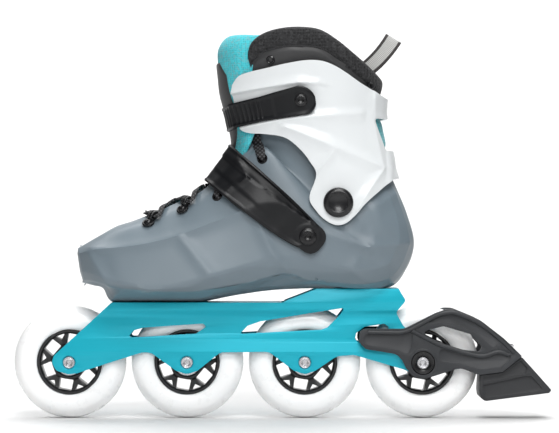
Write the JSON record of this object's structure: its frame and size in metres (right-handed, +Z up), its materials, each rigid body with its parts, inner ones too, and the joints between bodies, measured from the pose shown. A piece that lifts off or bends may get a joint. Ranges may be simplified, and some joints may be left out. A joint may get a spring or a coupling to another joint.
{
  "type": "inline skate",
  "caption": "Inline skate: hard boot with a hinged cuff and padded liner, ratchet straps, laces, channel frame, wheels in one line and a heel brake.",
  "frame": {"origin": "centre of the overall box on the ground plane, under the middle of the row of wheels", "axes": "-X towards the toe, +X towards the heel brake, -Y towards the foot's inner side, +Z up; the wheels turn about Y and lie in the plane y = 0"},
  "size_m": [0.4291, 0.1118, 0.3118],
  "materials": {
    "tyre_urethane": "satin, slightly translucent white",
    "hub_plastic": "satin black",
    "bearing_steel": "bright steel with a dark seal",
    "spacer_aluminium": "turned",
    "screw_steel": "bright zinc-plated",
    "frame_aluminium": "turquoise anodised, brushed",
    "brake_plastic": "matte charcoal",
    "brake_rubber": "matte black",
    "collar_rubber": "matte black",
    "shell_plastic": "satin slate grey",
    "cuff_plastic": "glossy white",
    "pivot_plastic": "glossy black",
    "liner_fabric": "black padded mesh",
    "footbed_fabric": "felt",
    "tongue_fabric": "turquoise padded mesh with a black front",
    "loop_webbing": "grey woven webbing with dark edges",
    "lace_cord": "flat black lace",
    "hook_plastic": "glossy black",
    "strap_plastic": "satin black",
    "buckle_plastic": "satin black"
  },
  "bodies": {
    "boot": {"bearing_spacer_1": "spacer_aluminium", "axle_1": "screw_steel", "bearing_spacer_2": "spacer_aluminium", "axle_2": "screw_steel", "bearing_spacer_3": "spacer_aluminium", "axle_3": "screw_steel", "bearing_spacer_4": "spacer_aluminium", "axle_4": "screw_steel", "frame": "frame_aluminium", "mount_screw_front": "screw_steel", "mount_screw_rear": "screw_steel", "sole_nut_front": "screw_steel", "sole_nut_rear": "screw_steel", "brake_pad_screw": "screw_steel", "instep_buckle_pin": "screw_steel", "brake_bracket": "brake_plastic", "brake_pad": "brake_rubber", "axle_collar_left": "collar_rubber", "axle_collar_right": "collar_rubber", "shell": "shell_plastic", "cuff_pivot_left": "pivot_plastic", "cuff_pivot_right": "pivot_plastic", "liner_foot": "liner_fabric", "footbed": "footbed_fabric", "tongue_lower": "tongue_fabric", "laces": "lace_cord", "lace_hook_left_1": "hook_plastic", "lace_hook_left_2": "hook_plastic", "lace_hook_right_1": "hook_plastic", "lace_hook_right_2": "hook_plastic", "instep_strap": "strap_plastic", "instep_strap_screw": "strap_plastic", "instep_buckle_base": "buckle_plastic"},
    "wheel_1": {"tyre_1": "tyre_urethane", "hub_1": "hub_plastic", "bearing_left_1": "bearing_steel", "bearing_right_1": "bearing_steel"},
    "wheel_2": {"tyre_2": "tyre_urethane", "hub_2": "hub_plastic", "bearing_left_2": "bearing_steel", "bearing_right_2": "bearing_steel"},
    "wheel_3": {"tyre_3": "tyre_urethane", "hub_3": "hub_plastic", "bearing_left_3": "bearing_steel", "bearing_right_3": "bearing_steel"},
    "wheel_4": {"tyre_4": "tyre_urethane", "hub_4": "hub_plastic", "bearing_left_4": "bearing_steel", "bearing_right_4": "bearing_steel"},
    "cuff": {"cuff": "cuff_plastic", "liner_collar": "liner_fabric", "tongue_upper": "tongue_fabric", "pull_loop": "loop_webbing", "top_strap": "strap_plastic", "top_strap_screw": "screw_steel", "top_buckle_base": "buckle_plastic", "top_buckle_pin": "screw_steel"},
    "top_lever": {"top_buckle_lever": "buckle_plastic"},
    "instep_lever": {"instep_buckle_lever": "buckle_plastic"}
  },
  "joints": [
    {"name": "wheel_spin_1", "type": "hinge", "parent": "boot", "child": "wheel_1", "pos_m": [-0.1695, 0, 0.045], "axis": [0, 1, 0], "continuous": true},
    {"name": "wheel_spin_2", "type": "hinge", "parent": "boot", "child": "wheel_2", "pos_m": [-0.0755, 0, 0.045], "axis": [0, 1, 0], "continuous": true},
    {"name": "wheel_spin_3", "type": "hinge", "parent": "boot", "child": "wheel_3", "pos_m": [0.0185, 0, 0.045], "axis": [0, 1, 0], "continuous": true},
    {"name": "wheel_spin_4", "type": "hinge", "parent": "boot", "child": "wheel_4", "pos_m": [0.1125, 0, 0.045], "axis": [0, 1, 0], "continuous": true},
    {"name": "cuff_pivot", "type": "hinge", "parent": "boot", "child": "cuff", "pos_m": [0.0446, 0, 0.1724], "axis": [0, -1, 0], "range_deg": [-4, 6]},
    {"name": "top_lever_pivot", "type": "hinge", "parent": "cuff", "child": "top_lever", "pos_m": [0.01998, 0.05437, 0.25349], "axis": [0.2186, 0, -0.9758], "range_deg": [0, 80]},
    {"name": "instep_lever_pivot", "type": "hinge", "parent": "boot", "child": "instep_lever", "pos_m": [0.02151, 0.05148, 0.14505], "axis": [-0.6431, 0.0138, -0.7657], "range_deg": [0, 80]}
  ]
}
